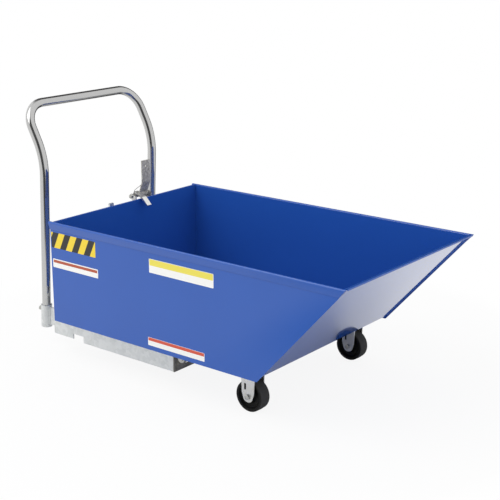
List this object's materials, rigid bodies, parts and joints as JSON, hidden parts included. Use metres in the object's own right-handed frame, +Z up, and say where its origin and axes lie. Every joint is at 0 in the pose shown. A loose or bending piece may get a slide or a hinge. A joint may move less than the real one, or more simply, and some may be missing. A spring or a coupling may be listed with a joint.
{
  "type": "tipping skip trolley",
  "caption": "Low blue steel hopper with a sloped dump end, tipping on a galvanised base frame with fork pockets, casters, a rim latch and a chrome push handle.",
  "frame": {"origin": "on the floor under the middle of the trolley's overall box", "axes": "+X towards the dump lip, +Y to the left side, +Z up"},
  "size_m": [1.751, 0.912, 1.068],
  "materials": {
    "blue_paint": "gloss blue enamel on folded steel sheet",
    "chrome_tube": "bright chrome plate on bent steel tube",
    "caster_zinc": "zinc plate on pressed steel",
    "wheel_rubber": "moulded black rubber",
    "fastener_zinc": "zinc plate on forged steel",
    "latch_steel": "dull zinc plate on flat bar",
    "spring_steel": "drawn spring wire",
    "galvanised_steel": "hot-dip galvanised plate with a soft spangle"
  },
  "bodies": {
    "base_frame": {"side_channel_left": "galvanised_steel", "side_channel_right": "galvanised_steel", "fork_guide_left": "galvanised_steel", "fork_guide_right": "galvanised_steel", "handle_arm_left": "galvanised_steel", "handle_arm_right": "galvanised_steel", "handle_socket_left": "galvanised_steel", "handle_socket_right": "galvanised_steel", "frame_front_plate": "galvanised_steel", "frame_rear_plate": "galvanised_steel", "caster_bed": "galvanised_steel", "hinge_ears": "galvanised_steel", "hinge_pins": "fastener_zinc", "hinge_pin_collars": "fastener_zinc", "latch_posts": "latch_steel", "keeper_bar": "latch_steel", "push_handle": "chrome_tube", "handle_clamp_bolts": "fastener_zinc", "handle_clamp_nuts": "fastener_zinc", "rear_caster_plate": "caster_zinc", "rear_swivel_race": "caster_zinc", "rear_kingpin": "caster_zinc", "rear_caster_bolts": "fastener_zinc"},
    "hopper": {"side_panel_left": "blue_paint", "side_panel_right": "blue_paint", "front_caster_pad_left": "blue_paint", "front_caster_pad_right": "blue_paint", "front_caster_fork_left": "caster_zinc", "front_caster_fork_right": "caster_zinc", "front_wheel_bush_left": "caster_zinc", "front_wheel_bush_right": "caster_zinc", "front_axle_bolt_left": "fastener_zinc", "front_axle_bolt_right": "fastener_zinc", "front_axle_nut_left": "fastener_zinc", "front_axle_nut_right": "fastener_zinc", "front_caster_bolts_left": "fastener_zinc", "front_caster_bolts_right": "fastener_zinc", "rear_wall": "blue_paint", "floor_sheet": "blue_paint", "front_sheet": "blue_paint", "hinge_lugs": "blue_paint", "latch_ears": "latch_steel", "latch_pivot_bolt": "fastener_zinc", "latch_pivot_nut": "fastener_zinc"},
    "latch": {"latch_lever": "latch_steel", "latch_barrel": "latch_steel", "latch_tab": "latch_steel", "latch_hook": "latch_steel", "latch_spring": "spring_steel"},
    "front_wheel_left": {"front_wheel_left": "wheel_rubber"},
    "front_wheel_right": {"front_wheel_right": "wheel_rubber"},
    "rear_caster": {"rear_swivel_fork": "caster_zinc", "rear_wheel_bush": "caster_zinc", "rear_axle_bolt": "fastener_zinc", "rear_axle_nut": "fastener_zinc"},
    "rear_wheel": {"rear_wheel": "wheel_rubber"}
  },
  "joints": [
    {"name": "hopper_tip", "type": "hinge", "parent": "base_frame", "child": "hopper", "pos_m": [0.05652, 0, 0.14], "axis": [0, 1, 0], "range_deg": [0, 90]},
    {"name": "latch_swing", "type": "hinge", "parent": "hopper", "child": "latch", "pos_m": [-0.60747, 0.106, 0.619], "axis": [0, 1, 0], "range_deg": [-11, 8], "deforming": ["latch_spring"]},
    {"name": "front_wheel_left_spin", "type": "hinge", "parent": "hopper", "child": "front_wheel_left", "pos_m": [0.38853, 0.341, 0.0635], "axis": [0, 1, 0], "continuous": true},
    {"name": "front_wheel_right_spin", "type": "hinge", "parent": "hopper", "child": "front_wheel_right", "pos_m": [0.38853, -0.341, 0.0635], "axis": [0, 1, 0], "continuous": true},
    {"name": "rear_caster_swivel", "type": "hinge", "parent": "base_frame", "child": "rear_caster", "pos_m": [-0.51748, 0, 0.135], "axis": [0, 0, 1], "continuous": true},
    {"name": "rear_wheel_spin", "type": "hinge", "parent": "rear_caster", "child": "rear_wheel", "pos_m": [-0.55548, 0, 0.0635], "axis": [0, 1, 0], "continuous": true}
  ]
}
